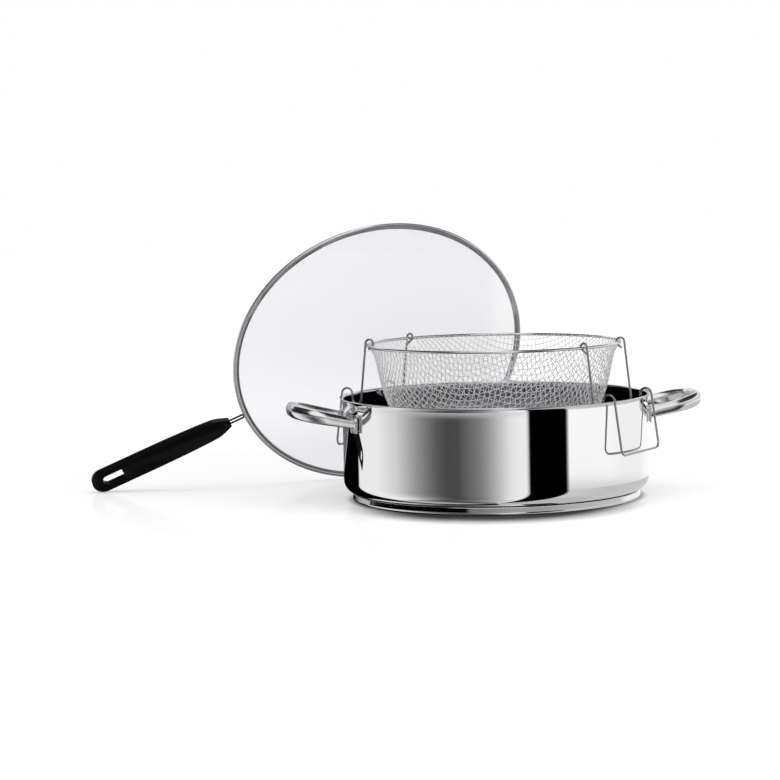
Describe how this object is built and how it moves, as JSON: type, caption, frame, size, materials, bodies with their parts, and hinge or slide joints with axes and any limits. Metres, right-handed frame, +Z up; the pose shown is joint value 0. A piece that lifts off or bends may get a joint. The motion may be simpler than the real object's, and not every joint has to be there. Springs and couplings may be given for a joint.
{
  "type": "deep fry pot with basket",
  "caption": "Low stainless pot with two loop handles, a wire-mesh fry basket hung on its rim by two bent-wire hangers, and a round splatter screen leaning on it.",
  "frame": {"origin": "middle of the pot's round base, on the surface it stands on", "axes": "+Z up, +X to the right and the front on the -Y side; the pot's handles lie on a line turned 12 degrees from X"},
  "size_m": [0.5643, 0.3111, 0.2471],
  "materials": {
    "pot_steel": "mirror-polished stainless steel",
    "core_aluminium": "plain, closed in by the steel cap",
    "wire_steel": "bright drawn stainless wire",
    "mesh_steel": "woven stainless wire mesh",
    "ring_steel": "polished rolled steel ring",
    "screen_cloth": "very fine woven wire cloth, half see-through",
    "dark_wire": "dark coated steel wire",
    "black_plastic": "black satin-gloss heat-proof plastic"
  },
  "bodies": {
    "pot": {"pot_body": "pot_steel", "base_cap": "pot_steel", "base_core": "core_aluminium", "handle_left": "pot_steel", "handle_right": "pot_steel", "handle_left_foot_front": "pot_steel", "handle_left_foot_back": "pot_steel", "handle_right_foot_front": "pot_steel", "handle_right_foot_back": "pot_steel"},
    "basket": {"basket_rim_wire": "wire_steel", "basket_mesh": "mesh_steel"},
    "hanger_right": {"hanger_right": "wire_steel"},
    "hanger_left": {"hanger_left": "wire_steel"},
    "splatter_screen": {"screen_ring": "ring_steel", "screen_cloth": "screen_cloth", "screen_tang": "dark_wire", "screen_grip": "black_plastic"}
  },
  "joints": [
    {"name": "basket_lift", "type": "slide", "parent": "pot", "child": "basket", "axis": [0, 0, 1], "range_m": [0, 0.28]},
    {"name": "hanger_right_swing", "type": "hinge", "parent": "basket", "child": "hanger_right", "pos_m": [0.09529, -0.04855, 0.1393], "axis": [-0.454, -0.891, 0], "range_deg": [0, 170]},
    {"name": "hanger_left_swing", "type": "hinge", "parent": "basket", "child": "hanger_left", "pos_m": [-0.09529, 0.04855, 0.1393], "axis": [0.454, 0.891, 0], "range_deg": [0, 170]},
    {"name": "screen_away", "type": "slide", "parent": "pot", "child": "splatter_screen", "axis": [-0.2741, 0.8436, 0.4617], "range_m": [0, 0.28]}
  ],
  "couplings": [
    {"joint": "hanger_right_swing", "follows": "basket_lift", "rad_per_m": 10.59},
    {"joint": "hanger_left_swing", "follows": "basket_lift", "rad_per_m": 10.59},
    {"joint": "screen_away", "follows": "basket_lift", "ratio": 1}
  ]
}
